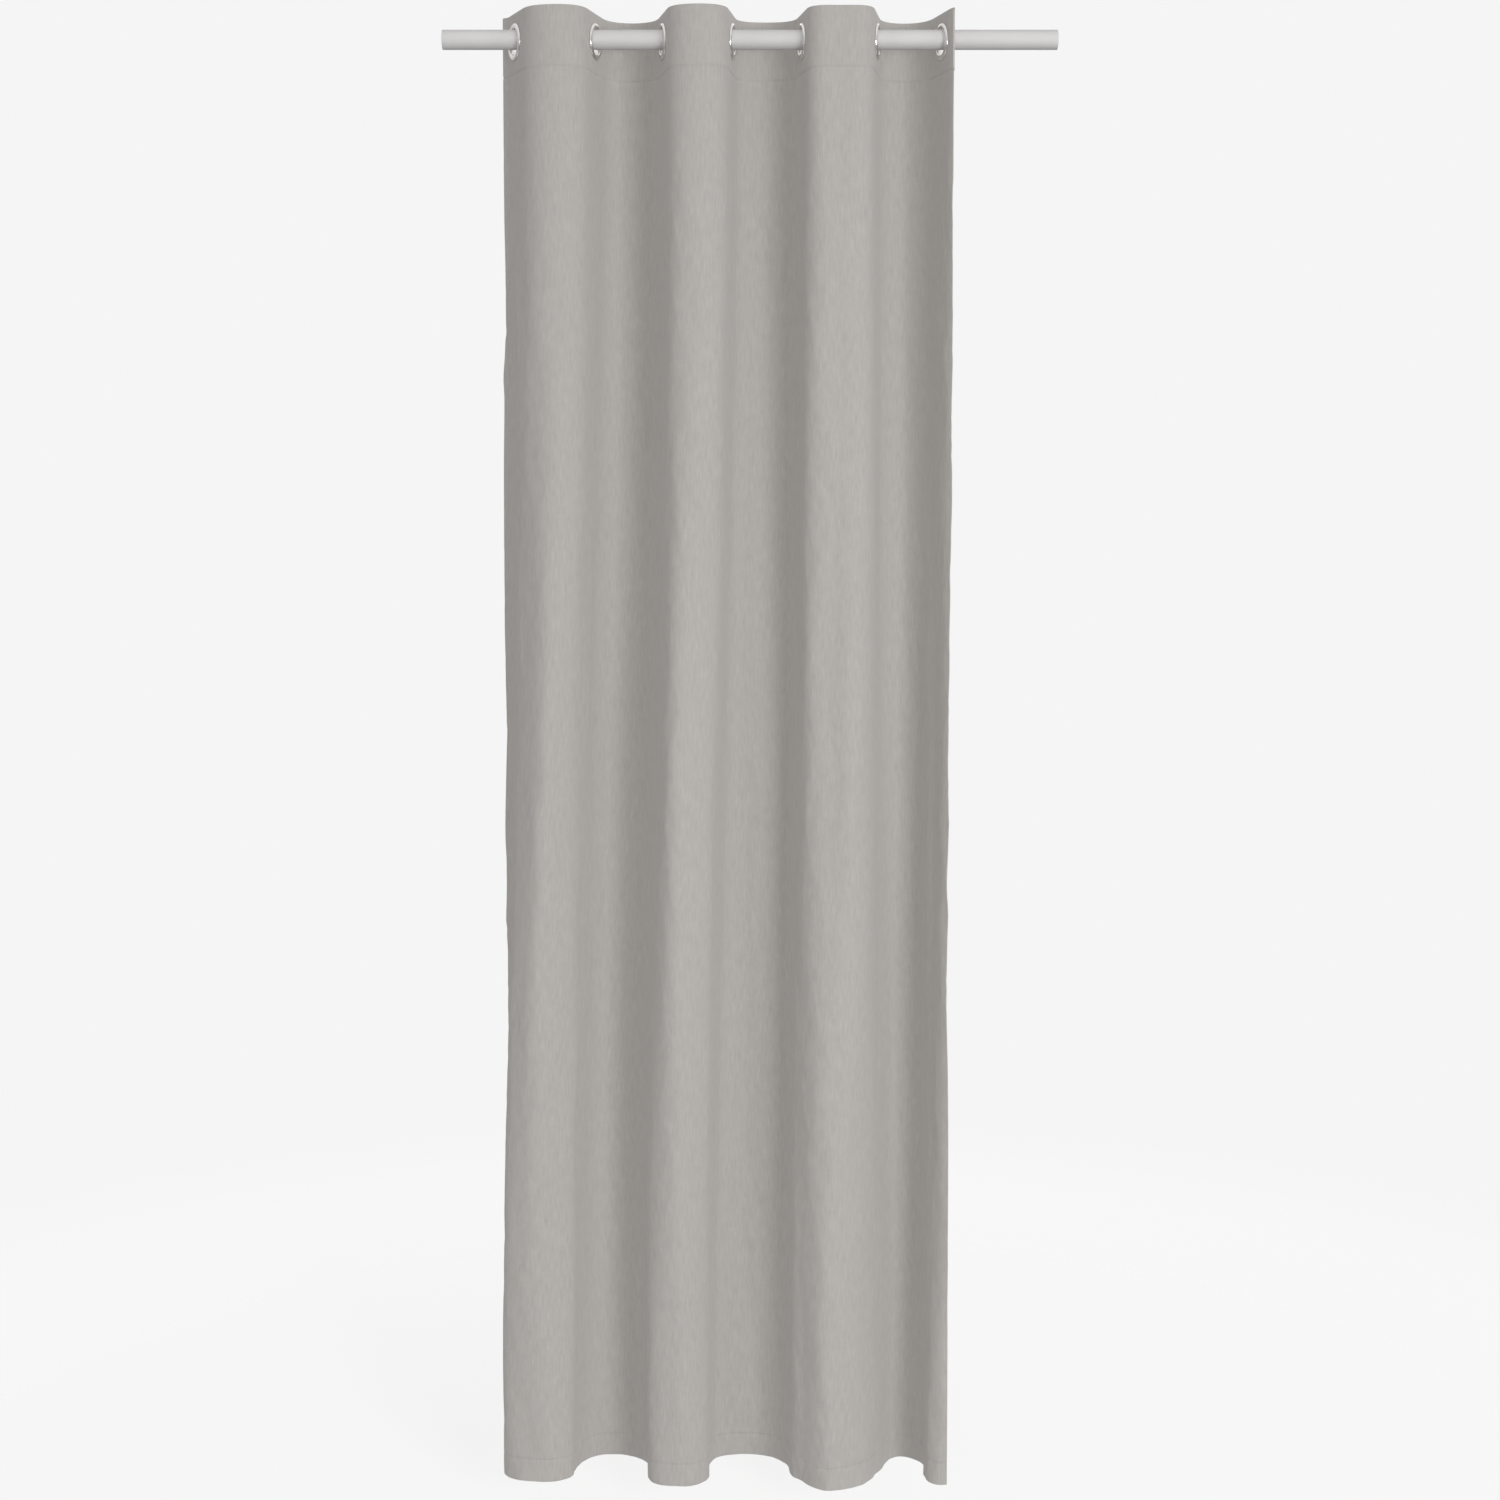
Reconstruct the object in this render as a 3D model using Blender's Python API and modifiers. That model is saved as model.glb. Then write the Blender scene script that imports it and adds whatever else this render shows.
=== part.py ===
"""Eyelet curtain panel hung in soft waves on a straight round pole.

Metres, +Z up, +X along the pole, -Y is the room side. The pole's axis passes through the origin. The
cloth is one sheet whose length across the panel is kept: it is laid along a wave that runs through
seven clamped eyelets, and it is divided at the eyelets so that each bay can follow its own eyelet.
"""
import math

import bmesh
import bpy
import numpy as np
from mathutils import Matrix, Vector

# Pole
POLE_LENGTH = 1.004
POLE_RADIUS = 0.016
POLE_SIDES = 48

# Finished panel, flat
PANEL_WIDTH = 1.400
PANEL_DROP = 2.450
HEADING_DEPTH = 0.100
BOTTOM_HEM_DEPTH = 0.040
SIDE_HEM_WIDTH = 0.020
EDGE_TO_EYELET = 0.049
TOP_TO_EYELET = 0.046

# Cloth layers, from the room side to the back
FACE_THICKNESS = 0.0008
TAPE_THICKNESS = 0.0006
FACING_THICKNESS = 0.0008
HEM_THICKNESS = 0.0012
LAYER_GAP = 0.0003
BAY_GAP = 0.0003
TAPE_INSET = 0.003

# Eyelets: a rim with a barrel, and a washer behind it
BORE_RADIUS = 0.021
RIM_RADIUS = 0.030
RIM_HEIGHT = 0.0034
BARREL_WALL = 0.0007
WASHER_HEIGHT = 0.0020
BARREL_STANDS_OUT = 0.0003
FIT_CLEARANCE = 0.0003
EYELET_STEPS = 28

# How the panel hangs: eyelets along the pole, and how far each turns from the pole's line (degrees)
FIRST_EYELET_X = -0.3837
EYELET_SPACING = (0.1306, 0.1110, 0.1127, 0.1143, 0.1225, 0.1061)
EYELET_TURN = (67.0, 76.0, 78.0, 82.0, 80.0, 81.0, 75.0)
FLAT_AT_EYELET = 0.034
LEFT_EDGE_TURN = 20.0
RIGHT_EDGE_TURN = 57.0

# The same lines of the cloth at the bottom edge: shift along the pole, shift towards the back, turn
HEM_SHIFT = (-0.023, -0.042, -0.034, -0.038, -0.013, 0.004, -0.012)
HEM_SWAY = (0.042, 0.006, 0.002, 0.026, 0.002, -0.012, -0.028)
HEM_TURN = (122.0, 76.0, 83.0, 86.0, 79.0, 63.0, 84.0)
OPENS_LATE = 2.2
FLAT_AT_HEM = 0.006
LEFT_HEM_TURN = 60.0
RIGHT_HEM_TURN = -16.0

# Mesh fineness
CURVE_COLUMNS = 11
BODY_ROWS = 6
PATH_STEPS = 120

EYELETS = len(EYELET_TURN)
CLOTH_SPACING = (PANEL_WIDTH - 2 * EDGE_TO_EYELET) / (EYELETS - 1)
TAPE_OFFSET = -(FACE_THICKNESS / 2 + LAYER_GAP + TAPE_THICKNESS / 2)
FACING_OFFSET = TAPE_OFFSET - (TAPE_THICKNESS / 2 + LAYER_GAP + FACING_THICKNESS / 2)
HEM_OFFSET = -(FACE_THICKNESS / 2 + LAYER_GAP + HEM_THICKNESS / 2)
RIM_SEAT = FACE_THICKNESS / 2 + LAYER_GAP
WASHER_SEAT = FACING_OFFSET - FACING_THICKNESS / 2 - LAYER_GAP
BARREL_END = WASHER_SEAT - WASHER_HEIGHT - BARREL_STANDS_OUT
BARREL_RADIUS = BORE_RADIUS + BARREL_WALL
HOLE_RADIUS = BARREL_RADIUS + FIT_CLEARANCE


def clear_scene():
    """Remove every object that is already in the file."""
    for item in list(bpy.data.objects):
        bpy.data.objects.remove(item, do_unlink=True)


def make_collection(name):
    """Add a collection to the scene."""
    collection = bpy.data.collections.new(name)
    bpy.context.scene.collection.children.link(collection)
    return collection


def make_material(name, colour, roughness, metallic=0.0):
    """A plain Principled material."""
    material = bpy.data.materials.new(name)
    material.use_nodes = True
    shader = material.node_tree.nodes["Principled BSDF"]
    shader.inputs["Base Color"].default_value = (*colour, 1.0)
    shader.inputs["Roughness"].default_value = roughness
    shader.inputs["Metallic"].default_value = metallic
    return material


def bend(phase, start, end, bulge, skew):
    """Angle of the cloth around one bay, from +start at phase 0 to -end at phase pi."""
    mean = (start + end) / 2
    uneven = (start - end) / 2
    swell = 1 + bulge * np.sin(phase) ** 2
    return mean * np.cos(phase) * swell + uneven * np.cos(phase) ** 2 + skew * np.sin(phase)


def bay_path(start, end, span, rise, flat):
    """Angles and points of the cloth from one eyelet line to the next.

    The path keeps the cloth's length between two eyelets. Bulge and skew are found by Newton steps, so
    that it ends `span` further along the pole and `rise` further out.
    """
    step = CLOTH_SPACING / PATH_STEPS
    middle = (np.arange(PATH_STEPS) + 0.5) * step
    phase = np.clip((middle - flat) / (CLOTH_SPACING - 2 * flat), 0, 1) * math.pi

    def end_point(bulge, skew):
        angle = bend(phase, start, end, bulge, skew)
        return np.array((np.cos(angle).sum(), np.sin(angle).sum())) * step

    guess = np.zeros(2)
    nudge = 1e-4
    for _ in range(25):
        now = end_point(*guess)
        by_bulge = (end_point(guess[0] + nudge, guess[1]) - now) / nudge
        by_skew = (end_point(guess[0], guess[1] + nudge) - now) / nudge
        change = np.linalg.solve(np.column_stack((by_bulge, by_skew)), (span, rise) - now)
        guess = guess + np.clip(change, -0.3, 0.3)
    angle = bend(phase, start, end, *guess)
    along = np.concatenate(((0,), np.cumsum(np.cos(angle)) * step))
    out = np.concatenate(((0,), np.cumsum(np.sin(angle)) * step))
    corner = np.concatenate(((start,), (angle[1:] + angle[:-1]) / 2, (-end,)))
    return corner, along, out


def edge_path(near, far, flat):
    """Angles and points of the free strip outside the last eyelet, leaving the eyelet line."""
    steps = PATH_STEPS // 4
    reach = np.linspace(0, EDGE_TO_EYELET, steps + 1)
    angle = near + (far - near) * np.clip((reach - flat) / (EDGE_TO_EYELET - flat), 0, 1)
    middle = (angle[1:] + angle[:-1]) / 2
    step = EDGE_TO_EYELET / steps
    along = np.concatenate(((0,), np.cumsum(np.cos(middle)) * step))
    out = np.concatenate(((0,), np.cumsum(np.sin(middle)) * step))
    return angle, along, out


def blend_down(depth, top, bottom, late=1.0):
    """Ease a value from the heading to the bottom edge; a larger `late` keeps it longer."""
    share = (depth - HEADING_DEPTH) / (PANEL_DROP - HEADING_DEPTH)
    share = min(max(share, 0.0), 1.0)
    share = (share * share * (3 - 2 * share)) ** late
    return top + (np.asarray(bottom) - top) * share


def section(depth):
    """The sheet's level section at a depth below its top edge.

    Returns:
        Length across the sheet from its left edge, angle, x and y, each as one array.
    """
    rest_x = FIRST_EYELET_X + np.concatenate(((0,), np.cumsum(EYELET_SPACING)))
    eyelet_x = blend_down(depth, rest_x, rest_x + HEM_SHIFT)
    eyelet_y = blend_down(depth, np.zeros(EYELETS), HEM_SWAY, OPENS_LATE)
    turn = np.radians(blend_down(depth, np.array(EYELET_TURN), HEM_TURN, OPENS_LATE))
    flat = float(blend_down(depth, FLAT_AT_EYELET, FLAT_AT_HEM))
    left_turn = math.radians(blend_down(depth, LEFT_EDGE_TURN, LEFT_HEM_TURN, OPENS_LATE))
    right_turn = math.radians(blend_down(depth, RIGHT_EDGE_TURN, RIGHT_HEM_TURN, OPENS_LATE))

    angle, along, out = edge_path(-turn[0], -left_turn, flat)
    length = np.linspace(EDGE_TO_EYELET, 0, len(along))
    pieces = [np.stack((length, angle, eyelet_x[0] - along, eyelet_y[0] - out))[:, ::-1]]
    for bay in range(EYELETS - 1):
        side = -1 if bay % 2 == 0 else 1
        span = eyelet_x[bay + 1] - eyelet_x[bay]
        rise = side * (eyelet_y[bay + 1] - eyelet_y[bay])
        angle, along, out = bay_path(turn[bay], turn[bay + 1], span, rise, flat)
        length = EDGE_TO_EYELET + bay * CLOTH_SPACING + np.linspace(0, CLOTH_SPACING, len(along))
        x = eyelet_x[bay] + along
        y = eyelet_y[bay] + side * out
        pieces.append(np.stack((length, side * angle, x, y))[:, 1:])
    angle, along, out = edge_path(-turn[-1], -right_turn, flat)
    length = PANEL_WIDTH - np.linspace(EDGE_TO_EYELET, 0, len(along))
    pieces.append(np.stack((length, angle, eyelet_x[-1] + along, eyelet_y[-1] + out))[:, 1:])
    return np.concatenate(pieces, axis=1)


def hang_drop():
    """How far the eyelet centres hang below the pole's axis.

    The bore is seen along the pole as an ellipse, narrowed by the barrel's length. The drop is the
    largest at which the most turned eyelet still clears the pole.
    """
    lean = math.radians(90 - min(EYELET_TURN))
    around = np.linspace(0, math.pi / 2, 181)
    half_barrel = (RIM_SEAT + RIM_HEIGHT - BARREL_END) / 2
    across = POLE_RADIUS * np.cos(around) / math.cos(lean) + half_barrel * math.tan(lean)
    bore = (BORE_RADIUS - FIT_CLEARANCE) * math.cos(math.pi / EYELET_STEPS)
    room = np.sqrt(np.maximum(bore**2 - across**2, 0)) - POLE_RADIUS * np.sin(around)
    return float(room.min())


EYELET_Z = -hang_drop()
TOP_Z = EYELET_Z + TOP_TO_EYELET


def bay_columns(bay):
    """Lengths across the sheet of a bay's grid lines: few on the flat flanks, more around the fold."""
    first = EDGE_TO_EYELET + bay * CLOTH_SPACING
    last = first + CLOTH_SPACING
    curve = np.linspace(first + FLAT_AT_EYELET, last - FLAT_AT_EYELET, CURVE_COLUMNS + 1)
    return np.concatenate(((first + BAY_GAP / 2,), curve, (last - BAY_GAP / 2,)))


def edge_columns(left):
    """Lengths across the sheet of an edge strip's grid lines."""
    inner = EDGE_TO_EYELET - BAY_GAP / 2
    curled = EDGE_TO_EYELET - FLAT_AT_EYELET
    lines = np.array((0.0, curled / 2, curled, SIDE_HEM_WIDTH, inner))
    return lines if left else PANEL_WIDTH - lines[::-1]


def body_rows():
    """Depths of the sheet's grid lines below the heading."""
    return np.linspace(HEADING_DEPTH, PANEL_DROP - BOTTOM_HEM_DEPTH, BODY_ROWS + 1)


def layer(name, columns, rows, offset, thickness, material, carrier, holes=()):
    """One layer of cloth: a grid laid along the wave, given its thickness and cut at the eyelets."""
    bpy.ops.mesh.primitive_grid_add(
        x_subdivisions=len(columns) - 1, y_subdivisions=len(rows) - 1, size=1.0
    )
    item = bpy.context.object
    item.name = name
    item.data.name = name
    sections = [section(depth) for depth in rows]
    origin = carrier.location
    for vertex in item.data.vertices:
        column = round((vertex.co.x + 0.5) * (len(columns) - 1))
        row = round((0.5 - vertex.co.y) * (len(rows) - 1))
        length, angle, x, y = sections[row]
        at = columns[column]
        turn = np.interp(at, length, angle)
        across = np.interp(at, length, x) + math.sin(turn) * offset
        out = np.interp(at, length, y) - math.cos(turn) * offset
        vertex.co = Vector((across, out, TOP_Z - rows[row])) - origin
    solid = item.modifiers.new("Thickness", "SOLIDIFY")
    solid.thickness = thickness
    solid.offset = 0.0
    solid.use_even_offset = True
    for hole in holes:
        cut = item.modifiers.new("Eyelet hole", "BOOLEAN")
        cut.operation = "DIFFERENCE"
        cut.object = hole
    return finish(item, material, carrier)


def finish(item, material, carrier):
    """Give a piece its material, smooth shading, collection and carrier."""
    item.data.materials.clear()
    item.data.materials.append(material)
    item.data.shade_smooth()
    item.data.set_sharp_from_angle(angle=math.radians(35))
    for old in list(item.users_collection):
        old.objects.unlink(item)
    PARTS.objects.link(item)
    if carrier is not None:
        item.parent = carrier
    return item


def facing_room(angle):
    """Rotation that turns +Z to the cloth's room side where the cloth runs at this angle."""
    return Vector((math.sin(angle), -math.cos(angle), 0)).to_track_quat("Z", "Y").to_euler()


def turned(name, outline, angle, material, carrier):
    """A ring turned about its own axis from a closed outline of (radius, height) points."""
    mesh = bpy.data.meshes.new(name)
    points = [(radius, 0, height) for radius, height in outline]
    edges = [(i, (i + 1) % len(points)) for i in range(len(points))]
    mesh.from_pydata(points, edges, [])
    item = bpy.data.objects.new(name, mesh)
    bpy.context.scene.collection.objects.link(item)
    screw = item.modifiers.new("Turn", "SCREW")
    screw.axis = "Z"
    screw.steps = EYELET_STEPS
    screw.render_steps = EYELET_STEPS
    screw.use_merge_vertices = True
    screw.merge_threshold = 0.00001
    item.rotation_euler = facing_room(angle)
    return finish(item, material, carrier)


def rim_outline():
    """The eyelet's rim and barrel, running down the rim's outer side and up the bore."""
    middle = (BORE_RADIUS + RIM_RADIUS) / 2
    half = (RIM_RADIUS - BORE_RADIUS) / 2
    arc = [math.radians(degrees) for degrees in (155, 125, 90, 55, 25)]
    dome = [(middle + half * math.cos(a), RIM_SEAT + RIM_HEIGHT * math.sin(a)) for a in arc]
    return [
        *dome,
        (RIM_RADIUS, RIM_SEAT),
        (BARREL_RADIUS, RIM_SEAT),
        (BARREL_RADIUS, BARREL_END),
        (BORE_RADIUS, BARREL_END),
        (BORE_RADIUS, RIM_SEAT),
    ]


def washer_outline():
    """The washer that closes the eyelet at the back, around the barrel with a fit clearance."""
    inner = BARREL_RADIUS + FIT_CLEARANCE
    outer = RIM_RADIUS
    middle = (inner + outer) / 2
    return [
        (inner, WASHER_SEAT),
        (outer, WASHER_SEAT),
        (outer - 0.0008, WASHER_SEAT - WASHER_HEIGHT * 0.6),
        (middle, WASHER_SEAT - WASHER_HEIGHT),
        (inner, WASHER_SEAT - WASHER_HEIGHT * 0.8),
    ]


def make_pole(material):
    """The straight round pole, along X through the origin."""
    bpy.ops.mesh.primitive_cylinder_add(
        vertices=POLE_SIDES, radius=POLE_RADIUS, depth=POLE_LENGTH, rotation=(0, math.pi / 2, 0)
    )
    pole = bpy.context.object
    pole.name = "pole"
    pole.data.name = "pole"
    pole.data.transform(Matrix.Rotation(math.pi / 2, 4, "Y"))
    pole.rotation_euler = (0, 0, 0)
    return finish(pole, material, None)


def make_carrier(number, x):
    """The empty that stands at an eyelet's centre and carries its pieces along the pole."""
    carrier = bpy.data.objects.new(f"carrier_{number}", None)
    carrier.empty_display_size = 0.02
    carrier.location = (x, 0, EYELET_Z)
    PARTS.objects.link(carrier)
    return carrier


def make_hole(number, carrier_location, angle):
    """The cutter for one eyelet's hole, longer than the cloth layers are thick."""
    bpy.ops.mesh.primitive_cylinder_add(
        vertices=EYELET_STEPS,
        radius=HOLE_RADIUS,
        depth=(RIM_SEAT - WASHER_SEAT) * 4,
        location=carrier_location,
        rotation=facing_room(angle),
    )
    cutter = bpy.context.object
    cutter.name = f"hole_cutter_{number}"
    cutter.hide_render = True
    cutter.display_type = "WIRE"
    for old in list(cutter.users_collection):
        old.objects.unlink(cutter)
    CUTTERS.objects.link(cutter)
    return cutter


def build():
    """Build the pole, the eyelets and the cloth, bay by bay."""
    cloth = make_material("matte_linen_look_cloth", (0.37, 0.355, 0.33), 0.95)
    lining = make_material("heading_stiffener", (0.70, 0.69, 0.66), 0.90)
    nickel = make_material("satin_nickel", (0.72, 0.71, 0.69), 0.22, 1.0)
    painted = make_material("pale_grey_paint", (0.62, 0.62, 0.61), 0.38, 0.2)

    make_pole(painted)
    heading = section(0.0)
    lines = EDGE_TO_EYELET + np.arange(EYELETS) * CLOTH_SPACING
    eyelet_x = np.interp(lines, heading[0], heading[2])
    angles = np.radians(EYELET_TURN) * np.where(np.arange(EYELETS) % 2 == 0, -1, 1)
    carriers = []
    holes = []
    for i in range(EYELETS):
        carrier = make_carrier(i + 1, eyelet_x[i])
        turned(f"eyelet_{i + 1}", rim_outline(), angles[i], nickel, carrier)
        turned(f"eyelet_washer_{i + 1}", washer_outline(), angles[i], nickel, carrier)
        holes.append(make_hole(i + 1, carrier.location, angles[i]))
        carriers.append(carrier)

    heading_rows = np.array((0.0, HEADING_DEPTH))
    tape_rows = np.array((TAPE_INSET, HEADING_DEPTH - TAPE_INSET))
    hem_rows = np.array((PANEL_DROP - BOTTOM_HEM_DEPTH, PANEL_DROP))
    all_rows = np.concatenate(((0.0,), body_rows(), (PANEL_DROP,)))
    strips = [("edge_left", edge_columns(True), carriers[0], holes[:1])]
    for bay in range(EYELETS - 1):
        strips.append((f"bay_{bay + 1}", bay_columns(bay), carriers[bay], holes[bay : bay + 2]))
    strips.append(("edge_right", edge_columns(False), carriers[-1], holes[-1:]))
    for label, columns, carrier, cuts in strips:
        layer(f"cloth_{label}", columns, all_rows, 0.0, FACE_THICKNESS, cloth, carrier, cuts)
        layer(f"heading_tape_{label}", columns, tape_rows, TAPE_OFFSET, TAPE_THICKNESS, lining,
              carrier, cuts)
        layer(f"heading_facing_{label}", columns, heading_rows, FACING_OFFSET, FACING_THICKNESS,
              cloth, carrier, cuts)
        layer(f"bottom_hem_{label}", columns, hem_rows, HEM_OFFSET, HEM_THICKNESS, cloth, carrier)
    for label, left, carrier in (("left", True, carriers[0]), ("right", False, carriers[-1])):
        columns = edge_columns(left)
        columns = columns[:4] if left else columns[-4:]
        rows = body_rows()
        rows[0] += BAY_GAP
        rows[-1] -= BAY_GAP
        layer(f"side_hem_{label}", columns, rows, HEM_OFFSET, HEM_THICKNESS, cloth, carrier)


clear_scene()
PARTS = make_collection("eyelet_curtain_panel")
CUTTERS = make_collection("cutters")
build()
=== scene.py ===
"""Looks of the eyelet curtain panel: hung cloth, sewn seams, clamped eyelets and the pole.

Metres, +Z up, +X along the pole, -Y is the room side. The cloth is one sheet. It is laid along the wave
that the eyelets hold, settled by a cloth simulation below its stiffened heading, turned over at its top
and bottom edges, and divided at the eyelet lines; each side edge rides on its outer eyelet.
"""
import logging
import math
from dataclasses import dataclass, field
from enum import Enum

import bpy
import numpy as np
from mathutils import Matrix, Vector


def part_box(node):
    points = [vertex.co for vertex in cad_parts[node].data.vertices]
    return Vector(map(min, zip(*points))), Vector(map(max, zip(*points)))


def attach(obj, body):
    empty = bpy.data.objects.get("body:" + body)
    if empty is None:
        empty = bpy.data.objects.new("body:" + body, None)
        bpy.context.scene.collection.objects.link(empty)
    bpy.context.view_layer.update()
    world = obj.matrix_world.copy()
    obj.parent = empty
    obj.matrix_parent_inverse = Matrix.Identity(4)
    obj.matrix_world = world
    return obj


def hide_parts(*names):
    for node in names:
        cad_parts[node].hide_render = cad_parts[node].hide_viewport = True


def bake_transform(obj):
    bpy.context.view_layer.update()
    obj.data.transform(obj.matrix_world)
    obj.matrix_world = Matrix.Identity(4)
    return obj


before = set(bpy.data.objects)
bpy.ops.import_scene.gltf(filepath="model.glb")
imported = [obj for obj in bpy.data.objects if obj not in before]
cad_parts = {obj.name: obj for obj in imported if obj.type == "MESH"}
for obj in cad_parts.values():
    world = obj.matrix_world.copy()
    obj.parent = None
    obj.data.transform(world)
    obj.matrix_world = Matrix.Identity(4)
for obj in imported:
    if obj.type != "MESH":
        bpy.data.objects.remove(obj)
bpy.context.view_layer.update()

LOG = logging.getLogger("curtain")
Array = np.ndarray


# ---------------------------------------------------------------- helpers for meshes

def grid_faces(rows: int, columns: int, closed: bool = False) -> Array:
    """Quads of a grid of points stored row by row.

    Args:
        rows: Number of rows of points.
        columns: Number of points in a row.
        closed: Whether each row's last point joins its first.

    Returns:
        Point numbers, four for each quad, turned so that row x column points up.
    """
    row = np.arange(rows - 1)[:, None]
    column = np.arange(columns if closed else columns - 1)[None, :]
    after = (column + 1) % columns
    low = row * columns
    quads = np.stack((low + column, low + columns + column, low + columns + after, low + after), axis=-1)
    return quads.reshape(-1, 4)


def new_object(name: str, data: bpy.types.ID) -> bpy.types.Object:
    """Put a mesh, a light or a camera into the scene as an object."""
    item = bpy.data.objects.new(name, data)
    bpy.context.scene.collection.objects.link(item)
    return item


def make_mesh(name: str, points: Array, faces: Array, uv: Array | None = None) -> bpy.types.Object:
    """Put whole arrays of points and faces into a new object.

    Args:
        name: The object's name.
        points: World places, shaped (n, 3).
        faces: Point numbers, shaped (m, 4).
        uv: The pattern place of each point in metres, shaped (n, 2).

    Returns:
        The object, smooth, at the origin.
    """
    mesh = bpy.data.meshes.new(name)
    mesh.from_pydata(points.tolist(), [], faces.tolist())
    if uv is not None:
        layer = mesh.uv_layers.new(name="Cloth")
        layer.uv.foreach_set("vector", uv[faces.reshape(-1)].astype(np.float32).reshape(-1))
    mesh.shade_smooth()
    return new_object(name, mesh)


def ease(value: Array | float) -> Array | float:
    """Rise smoothly from 0 to 1: 3 v squared less 2 v cubed, flat outside 0 to 1."""
    value = np.clip(value, 0, 1)
    return value * value * (3 - 2 * value)


# ---------------------------------------------------------------- finishes

class Sockets:
    """The kinds of socket that the effect groups use."""

    NUMBER = "NodeSocketFloat"
    VECTOR = "NodeSocketVector"


class NodeSheet:
    """A small writer of shader nodes."""

    def __init__(self, tree: bpy.types.NodeTree) -> None:
        """Work on one node tree."""
        self.tree = tree

    def add(
        self, kind: str, inputs: dict[str | int, object] | None = None, **settings: object
    ) -> bpy.types.Node:
        """Add a node.

        Args:
            kind: The node's type.
            inputs: A number or an output for each input, by its name or its place.
            settings: The node's plain properties.

        Returns:
            The node.
        """
        node = self.tree.nodes.new(kind)
        for key, value in settings.items():
            setattr(node, key, value)
        self.fill(node.inputs, inputs or {})
        return node

    def fill(self, inputs: object, values: dict[str | int, object]) -> None:
        """Give several inputs their numbers or outputs."""
        for key, value in values.items():
            self.feed(value, inputs[key])

    def feed(self, value: object, target: bpy.types.NodeSocket) -> None:
        """Give an input a number or join it to an output."""
        if isinstance(value, bpy.types.NodeSocket):
            self.tree.links.new(value, target)
        else:
            target.default_value = value

    def math(
        self, operation: str, first: object, second: object = 0.0, third: object = 0.5
    ) -> bpy.types.NodeSocket:
        """One step of arithmetic."""
        inputs = {0: first, 1: second, 2: third}
        return self.add("ShaderNodeMath", inputs, operation=operation).outputs[0]

    def noise(self, vector: object, scale: float, detail: float = 2.0) -> bpy.types.NodeSocket:
        """Soft noise around 0.5."""
        inputs = {"Vector": vector, "Scale": scale, "Detail": detail}
        return self.add("ShaderNodeTexNoise", inputs).outputs["Fac"]

    def stretch(self, vector: object, scale: tuple[float, float, float]) -> bpy.types.NodeSocket:
        """Scale a pattern's coordinates along its own axes."""
        return self.add("ShaderNodeMapping", {"Vector": vector, "Scale": scale}).outputs["Vector"]

    def remap(self, value: object, low: float, high: float) -> bpy.types.NodeSocket:
        """Carry 0 to 1 onto low to high."""
        inputs = {"Value": value, "To Min": low, "To Max": high}
        return self.add("ShaderNodeMapRange", inputs).outputs["Result"]

    def mix(self, share: object, first: object, second: object) -> bpy.types.NodeSocket:
        """Blend two colours."""
        inputs = {"Factor": share, 6: first, 7: second}
        return self.add("ShaderNodeMix", inputs, data_type="RGBA").outputs[2]

    def bump(self, height: object, distance: float, strength: float) -> bpy.types.NodeSocket:
        """A normal tilted by a height, in metres."""
        inputs = {"Distance": distance, "Strength": strength, "Height": height}
        return self.add("ShaderNodeBump", inputs).outputs[0]


def new_material(name: str) -> tuple[bpy.types.Material, NodeSheet, object]:
    """Start a material: itself, a writer for its nodes, and the inputs of its main shader."""
    material = bpy.data.materials.new(name)
    material.use_nodes = True
    shader = material.node_tree.nodes["Principled BSDF"]
    return material, NodeSheet(material.node_tree), shader.inputs


def new_group(
    name: str, inputs: list[tuple[str, str, object]], outputs: list[tuple[str, str]]
) -> NodeSheet:
    """Start a shader node group with named sockets.

    Args:
        name: The group's name.
        inputs: Name, socket kind and default of each input.
        outputs: Name and socket kind of each output.

    Returns:
        A writer for the group's tree, which already has its input and output nodes.
    """
    tree = bpy.data.node_groups.new(name, "ShaderNodeTree")
    for label, kind, default in inputs:
        socket = tree.interface.new_socket(label, in_out="INPUT", socket_type=kind)
        if default is not None:
            socket.default_value = default
    for label, kind in outputs:
        tree.interface.new_socket(label, in_out="OUTPUT", socket_type=kind)
    sheet = NodeSheet(tree)
    sheet.entry = sheet.add("NodeGroupInput")
    sheet.exit = sheet.add("NodeGroupOutput")
    return sheet


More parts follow.
